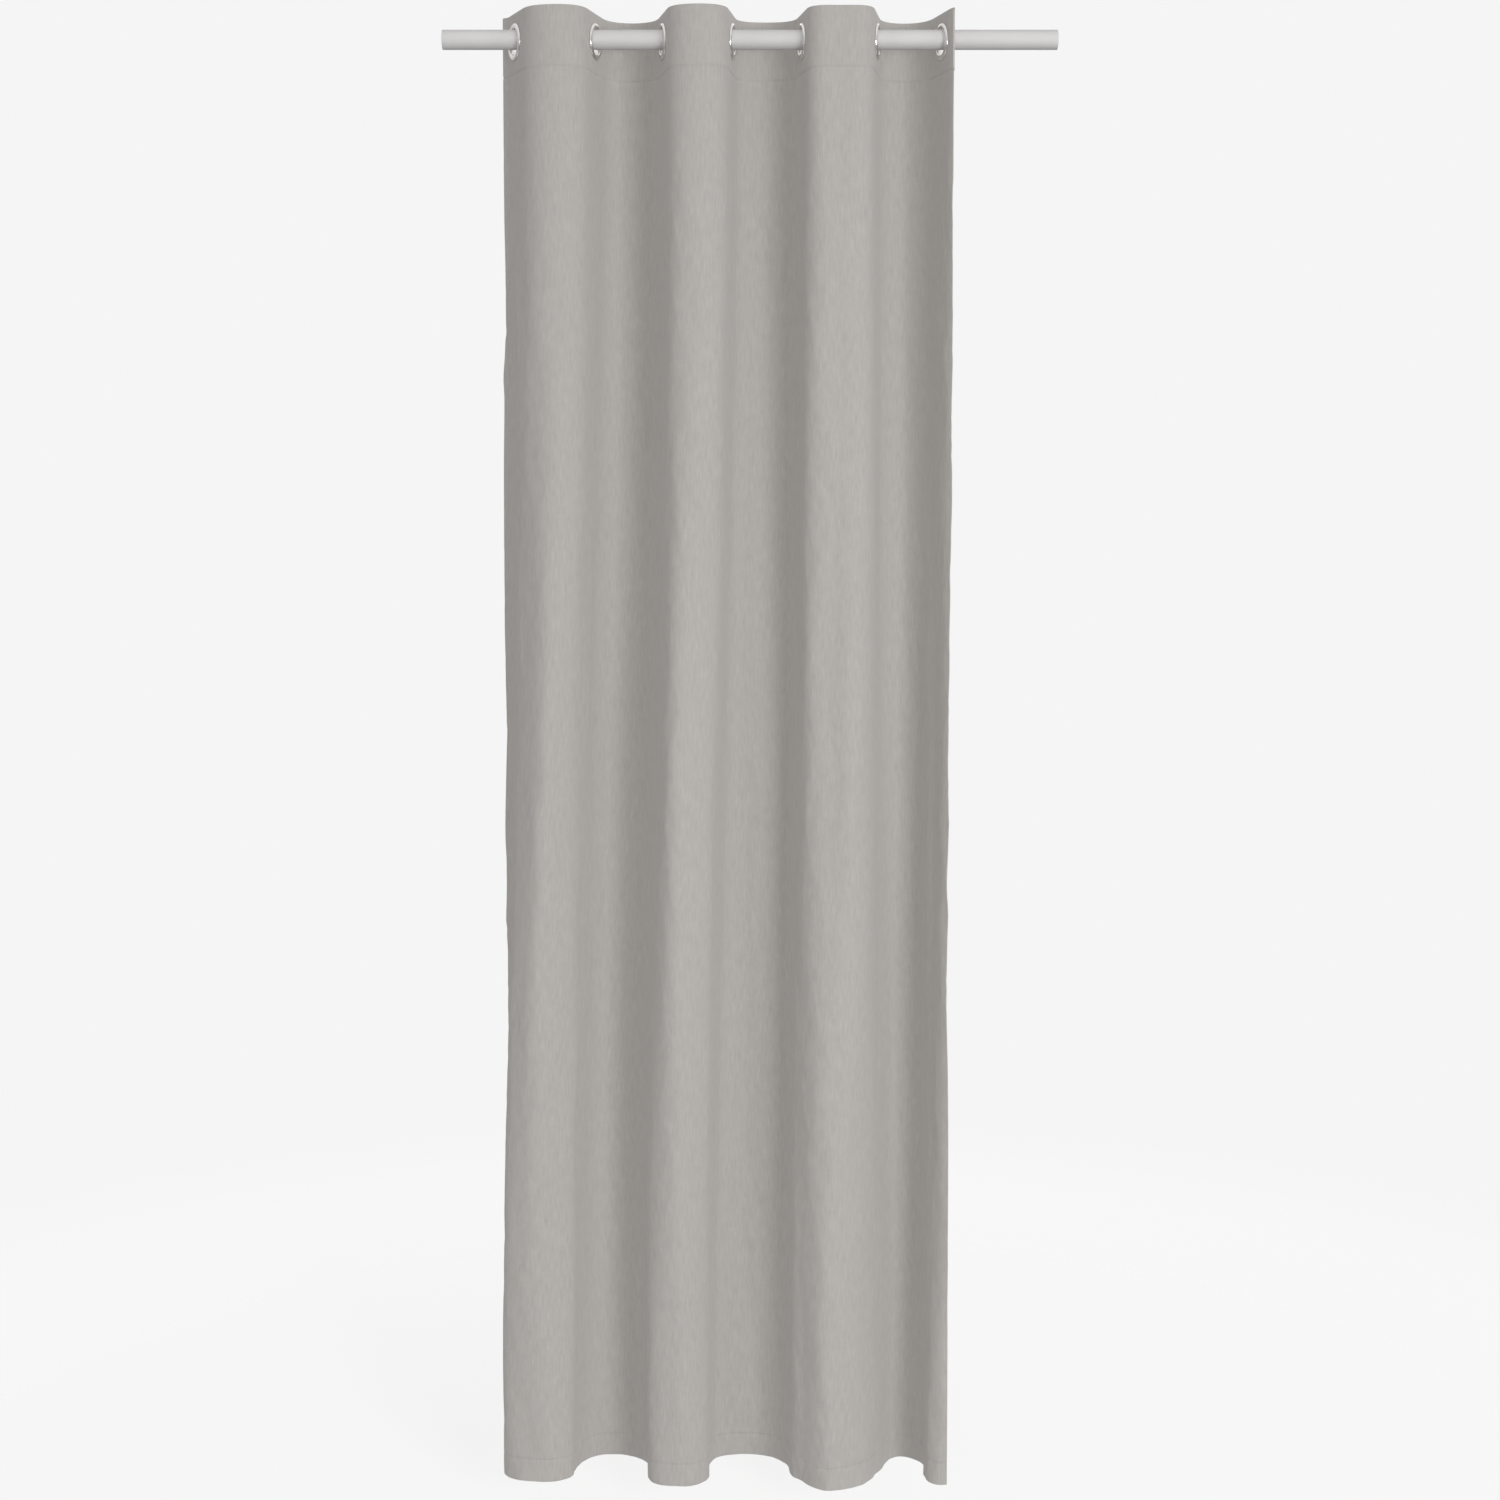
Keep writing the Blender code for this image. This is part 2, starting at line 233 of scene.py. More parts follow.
def weave_group() -> bpy.types.NodeTree:
    """Plain weave with slubs.

    Height is the larger of two rows of round yarns that pass over and under each other. Slubs are noise
    stretched along the warp and, more faintly, along the weft. Shade is the yarns' own unevenness.
    """
    inputs = [
        ("Vector", Sockets.VECTOR, None),
        ("Yarns per Metre", Sockets.NUMBER, 1500.0),
        ("Slub", Sockets.NUMBER, 1.0),
    ]
    outputs = [("Shade", Sockets.NUMBER), ("Height", Sockets.NUMBER)]
    sheet = new_group("Plain Weave", inputs, outputs)
    vector = sheet.entry.outputs["Vector"]
    split = sheet.add("ShaderNodeSeparateXYZ", {0: vector})
    pace = sheet.math("MULTIPLY", sheet.entry.outputs["Yarns per Metre"], math.pi)
    warp, weft = (
        sheet.math("ABSOLUTE", sheet.math("SINE", sheet.math("MULTIPLY", split.outputs[axis], pace)))
        for axis in "XY"
    )
    weave = sheet.math("MAXIMUM", warp, sheet.math("MULTIPLY", weft, 0.85))
    shade = None
    for scale, detail, share in (
        ((520.0, 36.0, 1.0), 3.0, 0.55),
        ((55.0, 620.0, 1.0), 2.0, 0.15),
        ((170.0, 48.0, 1.0), 3.0, 0.30),
    ):
        part = sheet.math("MULTIPLY", sheet.noise(sheet.stretch(vector, scale), 1.0, detail), share)
        shade = sheet.math("ADD", shade, part) if shade else part
    centred = sheet.math("MULTIPLY", sheet.math("SUBTRACT", shade, 0.5), sheet.entry.outputs["Slub"])
    sheet.feed(sheet.math("ADD", centred, 0.5), sheet.exit.inputs["Shade"])
    height = sheet.math("ADD", sheet.math("MULTIPLY", weave, 0.45), sheet.math("MULTIPLY", shade, 0.55))
    sheet.feed(height, sheet.exit.inputs["Height"])
    return sheet.tree


def wear_group() -> bpy.types.NodeTree:
    """Fine handling marks: a smear mask and fine scratches, both from stretched noise."""
    inputs = [("Vector", Sockets.VECTOR, None), ("Scale", Sockets.NUMBER, 1.0)]
    outputs = [("Smear", Sockets.NUMBER), ("Scratch", Sockets.NUMBER)]
    sheet = new_group("Handling Wear", inputs, outputs)
    scaled = sheet.add(
        "ShaderNodeVectorMath",
        {0: sheet.entry.outputs["Vector"], "Scale": sheet.entry.outputs["Scale"]},
        operation="SCALE",
    ).outputs[0]
    smear = sheet.noise(scaled, 18.0, 4.0)
    scratch = sheet.noise(sheet.stretch(scaled, (14.0, 900.0, 900.0)), 1.0, 2.0)
    sheet.feed(sheet.remap(smear, -0.35, 1.35), sheet.exit.inputs["Smear"])
    sheet.feed(sheet.remap(scratch, -0.4, 1.4), sheet.exit.inputs["Scratch"])
    return sheet.tree


@dataclass(frozen=True)
class ClothFinish:
    """Matte linen-look cloth: a slubby plain weave in warm grey-beige.

    Attributes:
        name: The material's name.
        dark: Colour of the thinner, deeper yarns.
        light: Colour of the fuller, raised yarns.
        yarns: Yarns in a metre.
        slub: How uneven the yarns are.
        relief: Height of the weave in metres.
    """

    name: str
    dark: tuple[float, float, float]
    light: tuple[float, float, float]
    yarns: float = 1300.0
    slub: float = 1.0
    relief: float = 0.0005

    def make(self, weave: bpy.types.NodeTree) -> bpy.types.Material:
        """Make the material.

        Args:
            weave: The plain weave group.

        Returns:
            The material, which follows the piece's own cloth map.
        """
        material, sheet, shader = new_material(self.name)
        place = sheet.add("ShaderNodeUVMap", uv_map="Cloth").outputs[0]
        inputs = {"Vector": place, "Yarns per Metre": self.yarns, "Slub": self.slub}
        group = sheet.add("ShaderNodeGroup", inputs, node_tree=weave)
        shade = group.outputs["Shade"]
        tint = sheet.mix(sheet.remap(shade, -0.9, 1.9), (*self.dark, 1.0), (*self.light, 1.0))
        sheet.fill(shader, {
            "Base Color": tint,
            "Roughness": sheet.remap(shade, 0.98, 0.82),
            "Normal": sheet.bump(group.outputs["Height"], self.relief, 0.6),
            "Sheen Weight": 0.18,
            "Sheen Roughness": 0.55,
            "Specular IOR Level": 0.25,
        })
        return material


@dataclass(frozen=True)
class MetalFinish:
    """Metal or painted metal with handling wear.

    Attributes:
        name: The material's name.
        colour: Clean colour.
        worn: Colour where hands and rings have rubbed.
        roughness: Roughness of the clean and the smeared surface.
        metallic: 1 for bare metal.
        relief: Depth of the fine scratches in metres.
        scale: Size of the marks, larger for finer.
    """

    name: str
    colour: tuple[float, float, float]
    worn: tuple[float, float, float]
    roughness: tuple[float, float]
    metallic: float
    relief: float
    scale: float

    def make(self, wear: bpy.types.NodeTree) -> bpy.types.Material:
        """Make the material.

        Args:
            wear: The handling wear group.

        Returns:
            The material, which reads object coordinates.
        """
        material, sheet, shader = new_material(self.name)
        place = sheet.add("ShaderNodeTexCoord").outputs["Object"]
        group = sheet.add("ShaderNodeGroup", {"Vector": place, "Scale": self.scale}, node_tree=wear)
        smear = group.outputs["Smear"]
        sheet.fill(shader, {
            "Base Color": sheet.mix(smear, (*self.colour, 1.0), (*self.worn, 1.0)),
            "Roughness": sheet.remap(smear, *self.roughness),
            "Normal": sheet.bump(group.outputs["Scratch"], self.relief, 0.5),
            "Metallic": self.metallic,
        })
        return material


class Finish(Enum):
    """Every finish on the object."""

    FACE = ClothFinish("linen_look_cloth", (0.300, 0.286, 0.271), (0.398, 0.380, 0.363), slub=0.75)
    TAPE = ClothFinish("heading_tape_cloth", (0.60, 0.59, 0.56), (0.76, 0.75, 0.72), 900.0, 0.4)
    THREAD = ClothFinish("sewing_thread", (0.31, 0.30, 0.285), (0.42, 0.405, 0.39), 4000.0, 0.5, 0.0001)
    NICKEL = MetalFinish(
        "polished_nickel", (0.80, 0.79, 0.77), (0.70, 0.69, 0.67), (0.12, 0.24), 1.0, 0.00003, 6.0
    )
    POLE = MetalFinish(
        "satin_pale_paint", (0.52, 0.512, 0.507), (0.48, 0.474, 0.470), (0.55, 0.68), 0.0, 0.00004, 1.0
    )


class Finishes:
    """Makes each finish once and gives it to pieces."""

    def __init__(self) -> None:
        """Make the shared effect groups."""
        self.weave = weave_group()
        self.wear = wear_group()
        self.made: dict[Finish, bpy.types.Material] = {}

    def dress(self, item: bpy.types.Object, finish: Finish) -> None:
        """Give a piece its finish, making the material on first use."""
        if finish not in self.made:
            effect = self.weave if isinstance(finish.value, ClothFinish) else self.wear
            self.made[finish] = finish.value.make(effect)
        item.data.materials.clear()
        item.data.materials.append(self.made[finish])


# ---------------------------------------------------------------- how the cloth hangs

@dataclass
class HangingWave:
    """The level section of the sheet at each depth, which keeps the cloth's length.

    Attributes:
        width: Finished flat width.
        drop: Finished drop.
        heading: Depth of the stiffened heading.
        edge: From a side edge to the first eyelet line.
        first_x: Place of the first eyelet along the pole.
        spacing: Distances between eyelets along the pole.
        turn: Degrees that the cloth turns from the pole's line at each eyelet.
        flat: Length that stays flat each side of an eyelet.
        edge_turn: The same degrees at the left and right edges.
        hem_shift, hem_sway, hem_turn, hem_flat, hem_edge_turn: The same at the bottom edge.
        opens_late: How late down the drop the turns change, 1 for evenly.
        steps: Straight steps that a bay's path is worked out in.
    """

    width: float = 1.400
    drop: float = 2.450
    heading: float = 0.100
    edge: float = 0.049
    first_x: float = -0.3837
    spacing: tuple[float, ...] = (0.1306, 0.1110, 0.1127, 0.1143, 0.1225, 0.1061)
    turn: tuple[float, ...] = (67.0, 76.0, 78.0, 82.0, 80.0, 81.0, 75.0)
    flat: float = 0.034
    edge_turn: tuple[float, float] = (20.0, 57.0)
    hem_shift: tuple[float, ...] = (-0.023, -0.042, -0.034, -0.038, -0.013, 0.004, -0.012)
    hem_sway: tuple[float, ...] = (0.042, 0.006, 0.002, 0.026, 0.002, -0.012, -0.028)
    hem_turn: tuple[float, ...] = (122.0, 76.0, 83.0, 86.0, 79.0, 63.0, 84.0)
    hem_flat: float = 0.006
    hem_edge_turn: tuple[float, float] = (60.0, -16.0)
    opens_late: float = 2.2
    steps: int = 120

    @property
    def eyelets(self) -> int:
        """How many eyelets the panel has."""
        return len(self.turn)

    @property
    def cloth_spacing(self) -> float:
        """Length of cloth between two eyelet lines."""
        return (self.width - 2 * self.edge) / (self.eyelets - 1)

    @property
    def eyelet_x(self) -> Array:
        """Place of each eyelet along the pole."""
        return self.first_x + np.concatenate(((0,), np.cumsum(self.spacing)))

    def trace(self, angle: Array, step: float) -> tuple[Array, Array]:
        """Distance along and distance across after each straight step of a path, both from 0."""
        parts = np.cos(angle), np.sin(angle)
        return tuple(np.concatenate(((0,), np.cumsum(part) * step)) for part in parts)

    def bay_path(
        self, start: float, end: float, span: float, rise: float, flat: float
    ) -> tuple[Array, Array]:
        """The cloth's path from one eyelet line to the next.

        The angle falls from start to -end like a cosine of the phase. A bulge, as its square sine, and a
        skew, as its sine, are found by Newton steps so that the path ends where the next line is.

        Args:
            start: Angle at the first line.
            end: Angle at the second line, downwards.
            span: Distance to the next line along the pole.
            rise: Distance to it across the pole.
            flat: Length that stays straight at each end.

        Returns:
            Distance along and distance across, as arrays.
        """
        length = self.cloth_spacing
        step = length / self.steps
        middle = (np.arange(self.steps) + 0.5) * step
        phase = np.clip((middle - flat) / (length - 2 * flat), 0, 1) * math.pi
        mean = (start + end) / 2
        uneven = (start - end) / 2

        def bend(bulge: float, skew: float) -> Array:
            """Angle of the cloth for a bulge and a skew."""
            swell = 1 + bulge * np.sin(phase) ** 2
            return mean * np.cos(phase) * swell + uneven * np.cos(phase) ** 2 + skew * np.sin(phase)

        def end_point(bulge: float, skew: float) -> Array:
            """Where the path ends."""
            angle = bend(bulge, skew)
            return np.array((np.cos(angle).sum(), np.sin(angle).sum())) * step

        guess = np.zeros(2)
        nudge = 1e-4
        for _ in range(25):
            now = end_point(*guess)
            by_bulge = (end_point(guess[0] + nudge, guess[1]) - now) / nudge
            by_skew = (end_point(guess[0], guess[1] + nudge) - now) / nudge
            change = np.linalg.solve(np.column_stack((by_bulge, by_skew)), (span, rise) - now)
            guess = guess + np.clip(change, -0.3, 0.3)
            if np.abs(change).max() < 1e-9:
                break
        return self.trace(bend(*guess), step)

    def edge_path(self, near: float, far: float, flat: float) -> tuple[Array, Array]:
        """The free strip outside the last eyelet: straight near it, then curling to its edge angle."""
        count = self.steps // 3
        reach = np.linspace(0, self.edge, count + 1)
        angle = near + (far - near) * np.clip((reach - flat) / (self.edge - flat), 0, 1)
        return self.trace((angle[1:] + angle[:-1]) / 2, self.edge / count)

    def eased(self, depth: float, top: object, bottom: object, late: float = 1.0) -> Array:
        """A value between the heading's and the bottom edge's; a larger `late` keeps the first longer."""
        share = ease((depth - self.heading) / (self.drop - self.heading)) ** late
        return np.asarray(top) + (np.asarray(bottom) - np.asarray(top)) * share

    def section(self, depth: float) -> Array:
        """The level section at a depth below the top edge.

        Returns:
            Three rows: length across the sheet from its left edge, x and y.
        """
        x = self.eased(depth, self.eyelet_x, self.eyelet_x + self.hem_shift)
        y = self.eased(depth, np.zeros(self.eyelets), self.hem_sway, self.opens_late)
        turn = np.radians(self.eased(depth, self.turn, self.hem_turn, self.opens_late))
        flat = float(self.eased(depth, self.flat, self.hem_flat))
        left, right = np.radians(self.eased(depth, self.edge_turn, self.hem_edge_turn, self.opens_late))

        along, across = self.edge_path(-turn[0], -left, flat)
        reach = np.linspace(self.edge, 0, len(along))
        parts = [np.stack((reach, x[0] - along, y[0] - across))[:, ::-1]]
        for bay in range(self.eyelets - 1):
            side = -1 if bay % 2 == 0 else 1
            rise = side * (y[bay + 1] - y[bay])
            along, across = self.bay_path(turn[bay], turn[bay + 1], x[bay + 1] - x[bay], rise, flat)
            length = self.edge + bay * self.cloth_spacing + np.linspace(0, self.cloth_spacing, len(along))
            parts.append(np.stack((length, x[bay] + along, y[bay] + side * across))[:, 1:])
        along, across = self.edge_path(-turn[-1], -right, flat)
        parts.append(np.stack((self.width - reach, x[-1] + along, y[-1] + across))[:, 1:])
        return np.concatenate(parts, axis=1)


# ---------------------------------------------------------------- the sheet

CLOTH_SETTINGS = {
    "quality": 6,
    "mass": 0.0004,
    "air_damping": 4.0,
    "tension_stiffness": 30.0,
    "compression_stiffness": 30.0,
    "shear_stiffness": 8.0,
    "bending_stiffness": 0.4,
}


@dataclass
class HungSheet:
    """The face cloth as one grid of points, hung by simulation below the heading.

    Attributes:
        wave: The section that the eyelets hold.
        top_z: Height of the top edge.
        eyelet_depth: Depth of the eyelet centres below the top edge.
        across_step, down_step: Grid spacing across and down the sheet.
        frames: Simulation frames.
        most_moved: The most that a point may move in the simulation.
        fade_in: Distance below the heading over which the simulation's moves come in.
        bends: Height, turns across, turns down and phase of each lasting bend.
        bends_begin, bends_grow: Where the bends begin and how far they grow, as shares of the drop.
        bends_aslant: Their push along the pole, as a share of that across it.
    """

    wave: HangingWave
    top_z: float
    eyelet_depth: float = 0.046
    across_step: float = 0.009
    down_step: float = 0.016
    frames: int = 36
    most_moved: float = 0.016
    fade_in: float = 0.25
    bends: tuple[tuple[float, float, float, float], ...] = (
        (0.0032, 11.0, 0.55, 0.7), (0.0020, 17.0, -0.9, 2.1), (0.0030, 3.0, 1.4, 4.0),
    )
    bends_begin: float = 0.05
    bends_grow: float = 0.5
    bends_aslant: float = 0.45
    lengths: Array = field(init=False)
    depths: Array = field(init=False)
    points: Array = field(init=False)

    def lay(self) -> None:
        """Lay the grid along the wave: one section for each row."""
        wave = self.wave
        per_bay = round(wave.cloth_spacing / self.across_step)
        per_edge = round(wave.edge / self.across_step)
        lines = [np.linspace(0, wave.edge, per_edge + 1)]
        for bay in range(wave.eyelets - 1):
            start = wave.edge + bay * wave.cloth_spacing
            lines.append(np.linspace(start, start + wave.cloth_spacing, per_bay + 1)[1:])
        lines.append(np.linspace(wave.width - wave.edge, wave.width, per_edge + 1)[1:])
        self.lengths = np.concatenate(lines)
        self.depths = np.linspace(0, wave.drop, round(wave.drop / self.down_step) + 1)
        rows = []
        for depth in self.depths:
            length, x, y = wave.section(depth)
            place = np.interp(self.lengths, length, x), np.interp(self.lengths, length, y)
            rows.append(np.stack((*place, np.full(len(self.lengths), self.top_z - depth)), axis=-1))
        self.points = np.stack(rows)
        self.points += self.unevenness()

    def unevenness(self) -> Array:
        """Small lasting bends that a used panel keeps, larger towards the bottom edge.

        Each is a level wave across the sheet whose place drifts with depth, pushed across the pole. Their
        heights are a few millimetres and fade to nothing at the heading.
        """
        across = self.lengths[None, :] / self.wave.width
        down = self.depths[:, None] / self.wave.drop
        grown = ease((down - self.bends_begin) / self.bends_grow)
        push = grown * sum(
            height * np.sin(2 * math.pi * (wide * across + deep * down) + phase)
            for height, wide, deep, phase in self.bends
        )
        return np.stack((self.bends_aslant * push, push, np.zeros_like(push)), axis=-1)

    def settle(self) -> None:
        """Let the cloth hang under its own weight with its heading held, then keep the result.

        Blender's Cloth runs on a copy of the grid. A point moves no further than `most_moved`, and not at
        all in the heading, and the change fades in below it.
        """
        rows, columns = self.points.shape[:2]
        item = make_mesh("settling_sheet", self.points.reshape(-1, 3), grid_faces(rows, columns))
        held = item.vertex_groups.new(name="held")
        held_rows = int(np.searchsorted(self.depths, self.wave.heading)) + 1
        held.add(list(range(held_rows * columns)), 1.0, "REPLACE")
        cloth = item.modifiers.new("Hang", "CLOTH")
        for name, value in CLOTH_SETTINGS.items():
            setattr(cloth.settings, name, value)
        cloth.settings.vertex_group_mass = "held"
        cloth.collision_settings.use_collision = False
        cloth.collision_settings.use_self_collision = False
        cloth.point_cache.frame_start = 1
        cloth.point_cache.frame_end = self.frames
        scene = bpy.context.scene
        for number in range(1, self.frames + 1):
            scene.frame_set(number)
        settled = item.evaluated_get(bpy.context.evaluated_depsgraph_get())
        flat = np.empty(rows * columns * 3)
        settled.data.vertices.foreach_get("co", flat)
        change = flat.reshape(rows, columns, 3) - self.points
        size = np.linalg.norm(change, axis=-1, keepdims=True)
        share = np.minimum(1, self.most_moved / np.maximum(size, 1e-9))
        fade = ease((self.depths - self.wave.heading) / self.fade_in)[:, None, None]
        self.points = self.points + change * share * fade
        LOG.info("settled: mean move %.1f mm, most %.1f mm", size.mean() * 1000, size.max() * 1000)
        scene.frame_set(1)
        bpy.data.objects.remove(item, do_unlink=True)

    def normals(self) -> Array:
        """Room-side normal at each grid point: down the sheet crossed with along it."""
        along = np.gradient(self.points, self.lengths, axis=1)
        down = np.gradient(self.points, self.depths, axis=0)
        normal = np.cross(down, along)
        return normal / np.linalg.norm(normal, axis=-1, keepdims=True)

    def at(self, length: Array, depth: Array, offset: Array | float) -> Array:
        """Places on the sheet, or off it along its room-side normal.

        Args:
            length: Lengths across the sheet.
            depth: Depths below the top edge, shaped as length.
            offset: Distance towards the room.

        Returns:
            World places, by straight interpolation down and a smooth cubic one across.
        """
        if not hasattr(self, "_normals"):
            self._normals = self.normals()
        down = np.interp(depth, self.depths, np.arange(len(self.depths)))
        row = np.clip(down.astype(int), 0, len(self.depths) - 2)
        part = (down - row)[..., None]
        across = np.interp(length, self.lengths, np.arange(len(self.lengths)))
        column = np.clip(across.astype(int), 0, len(self.lengths) - 2)
        share = (across - column)[..., None]
        place, normal = (
            self._cubic(grid, row, column, share) * (1 - part)
            + self._cubic(grid, row + 1, column, share) * part
            for grid in (self.points, self._normals)
        )
        normal = normal / np.linalg.norm(normal, axis=-1, keepdims=True)
        return place + normal * np.asarray(offset)[..., None]

    def _cubic(self, grid: Array, row: Array, column: Array, share: Array) -> Array:
        """Catmull-Rom interpolation along one row of the grid."""
        last = grid.shape[1] - 1
        before = grid[row, np.maximum(column - 1, 0)]
        first = grid[row, column]
        second = grid[row, np.minimum(column + 1, last)]
        after = grid[row, np.minimum(column + 2, last)]
        cube = -before + 3 * first - 3 * second + after
        square = 2 * before - 5 * first + 4 * second - after
        return first + 0.5 * share * ((second - before) + share * (square + share * cube))


class Strip(Enum):
    """The pieces that the sheet is divided into at the eyelet lines."""

    EDGE_LEFT = "edge_left"
    BAY_1 = "bay_1"
    BAY_2 = "bay_2"
    BAY_3 = "bay_3"
    BAY_4 = "bay_4"
    BAY_5 = "bay_5"
    BAY_6 = "bay_6"
    EDGE_RIGHT = "edge_right"

    @property
    def number(self) -> int:
        """0 for the left edge, 1 to 6 for the bays and 7 for the right edge."""
        return list(Strip).index(self)

    @property
    def is_edge(self) -> bool:
        """Whether it is one of the two side edges."""
        return self in (Strip.EDGE_LEFT, Strip.EDGE_RIGHT)


@dataclass
class Panel:
    """The sewn panel: face cloth turned over at top, bottom and sides, its heading tape and stitches.

    Attributes:
        sheet: The hung face cloth.
        thickness: Thickness of one layer of cloth.
        inner_thickness: The same for the tape and the side hems.
        tape_offset: Distance of the tape's middle behind the face.
        tape_top, tape_foot: From the heading's upper and lower edge to the tape.
        facing_offset: Distance of the turned-over heading behind the face.
        hem_offset: Distance of the turned-up hems behind the face.
        bottom_hem, side_hem: Depth of the turned-up hem and width of the turned-in ones.
        hole_radius: Radius of the holes under the eyelets.
        head_roll, foot_roll: How far the face is rolled over at its top edge and at its other edges.
        seam_inset: From a seam to the edge of the layer that it holds.
        seam_reach: Half the depth of the fine grid lines at a seam.
        crease_depth, crease_width: How far a seam draws the face in, and how narrowly.
        puckers: Share and spacing of the two unevennesses along a seam.
        column_step, end_column: Grid spacing across a strip, and of the extra line inside each end.
        stitch_pitch, stitch_long, stitch_thick, stitch_rise: Sizes of the sewing stitches.
        stitch_sink, stitch_clear: How far they sink into the drawn-in face, and stand off a layer behind it.
    """

    sheet: HungSheet
    finishes: Finishes
    thickness: float = 0.0006
    inner_thickness: float = 0.0004
    tape_offset: float = -0.0010
    tape_top: float = 0.003
    tape_foot: float = 0.005
    facing_offset: float = -0.0020
    hem_offset: float = -0.0013
    bottom_hem: float = 0.040
    side_hem: float = 0.020
    hole_radius: float = 0.0235
    head_roll: float = 0.0012
    foot_roll: float = 0.0008
    seam_inset: float = 0.003
    seam_reach: float = 0.008
    crease_depth: float = 0.0007
    crease_width: float = 0.0022
    puckers: tuple[tuple[float, float], ...] = ((0.35, 0.011), (0.25, 0.037))
    column_step: float = 0.0050
    end_column: float = 0.0006
    stitch_pitch: float = 0.0040
    stitch_long: float = 0.0032
    stitch_thick: float = 0.00028
    stitch_rise: float = 0.00035
    stitch_sink: float = 0.0006
    stitch_clear: float = 0.0001

    @property
    def head_seam(self) -> float:
        """Depth of the seam that holds the turned-over heading."""
        return self.sheet.wave.heading - self.seam_inset

    @property
    def foot_seam(self) -> float:
        """Depth of the seam that holds the turned-up hem."""
        return self.sheet.wave.drop - self.bottom_hem + self.seam_inset

    def limits(self, strip: Strip) -> tuple[float, float]:
        """A strip's first and last length across the sheet."""
        wave = self.sheet.wave
        if strip is Strip.EDGE_LEFT:
            return 0.0, wave.edge
        if strip is Strip.EDGE_RIGHT:
            return wave.width - wave.edge, wave.width
        start = wave.edge + (strip.number - 1) * wave.cloth_spacing
        return start, start + wave.cloth_spacing

    def columns(self, strip: Strip) -> Array:
        """Grid lines across a strip, with one close to each end so that neighbours shade alike."""
        start, end = self.limits(strip)
        inner = np.linspace(start, end, round((end - start) / self.column_step) + 1)
        return np.sort(np.concatenate((inner, (start + self.end_column, end - self.end_column))))

    def round_holes(self, strip: Strip, length: Array, depth: Array) -> Array:
        """Move grid lines round the half holes at a strip's ends.

        A line at an eyelet follows the hole's circle, and the others between it and the strip's middle are
        moved less, in proportion to how near they are.
        """
        start, end = self.limits(strip)
        reach = end - start if strip.is_edge else (end - start) / 2
        away = depth - self.sheet.eyelet_depth
        notch = np.sqrt(np.maximum(self.hole_radius**2 - away**2, 0))
        left = np.clip(1 - (length - start) / reach, 0, 1) if strip is not Strip.EDGE_LEFT else 0 * length
        right = np.clip(1 - (end - length) / reach, 0, 1) if strip is not Strip.EDGE_RIGHT else 0 * length
        return length + notch * (left - right)

    def crease(self, depth: Array, length: Array) -> Array:
        """How far the seams draw the face in: a narrow dip along each line of stitches."""
        head, foot = (
            np.exp(-(((depth - seam) / self.crease_width) ** 2))
            for seam in (self.head_seam, self.foot_seam)
        )
        pucker = 1 + sum(share * np.sin(2 * math.pi * length / pitch) for share, pitch in self.puckers)
        return -self.crease_depth * pucker * np.maximum(head, foot)

    def half_roll(self, angle: Array, reach: float, near: float, far: float) -> tuple[Array, Array]:
        """A half circle round an edge.

        Args:
            angle: Places round it, from 0 to pi.
            reach: How far the edge stands past its layers.
            near: Offset of the first layer behind the face.
            far: Offset of the second.

        Returns:
            Distance from the edge and offset at each place.
        """
        return reach * (1 - np.sin(angle)), near + (far - near) / 2 * (1 - np.cos(angle))

    def rows(self) -> tuple[Array, Array, Array]:
        """Depth, offset and run of each grid line of the whole turned sheet, from the back of the heading.

        The line climbs the turned-over heading, rolls over the top edge on a half circle, goes down the
        face, rolls under the bottom edge and ends at the top of the turned-up hem.
        """
        wave = self.sheet.wave
        back = np.linspace(wave.heading, self.head_roll, 30)
        roll = np.linspace(0, math.pi, 7)[1:-1]
        head_depth, head_offset = self.half_roll(roll, self.head_roll, self.facing_offset, 0.0)
        foot_depth, foot_offset = self.half_roll(roll, self.foot_roll, 0.0, self.hem_offset)
        window = np.linspace(-self.seam_reach, self.seam_reach, 13)
        near_head, near_foot = self.head_seam + window, self.foot_seam + window
        foot = np.linspace(wave.drop - self.foot_roll, wave.drop - self.bottom_hem, 10)
        face = np.concatenate((
            np.linspace(self.head_roll, near_head[0], 28)[:-1],
            near_head,
            np.linspace(near_head[-1], near_foot[0], 170)[1:-1],
            near_foot,
            np.linspace(near_foot[-1], foot[0], 8)[1:],
        ))
        depth = np.concatenate((back, head_depth, face, wave.drop - foot_depth, foot))
        offset = np.concatenate((
            np.full(len(back), self.facing_offset),
            head_offset,
            np.zeros(len(face)),
            foot_offset,
            np.full(len(foot), self.hem_offset),
        ))
        run = np.concatenate(((0,), np.cumsum(np.hypot(np.diff(depth), np.diff(offset)))))
        return depth, offset, run

    def surface(
        self, name: str, strip: Strip, columns: Array, depth: Array, offset: Array, run: Array
    ) -> bpy.types.Object:
        """A strip of cloth over a grid of lengths and depths, with its own map in metres."""
        across, down = np.meshgrid(columns, depth)
        off = np.broadcast_to(offset[:, None], across.shape)
        moved = self.round_holes(strip, across, down)
        off = off + np.where(off > -1e-9, self.crease(down, moved), 0)
        points = self.sheet.at(moved, down, off)
        uv = np.stack((moved, np.broadcast_to(run[:, None], across.shape)), axis=-1)
        return make_mesh(name, points.reshape(-1, 3), grid_faces(*across.shape), uv.reshape(-1, 2))

    def thicken(self, item: bpy.types.Object, thickness: float) -> None:
        """Give a surface its thickness about its middle."""
        solid = item.modifiers.new("Thickness", "SOLIDIFY")
        solid.thickness = thickness
        solid.offset = 0.0

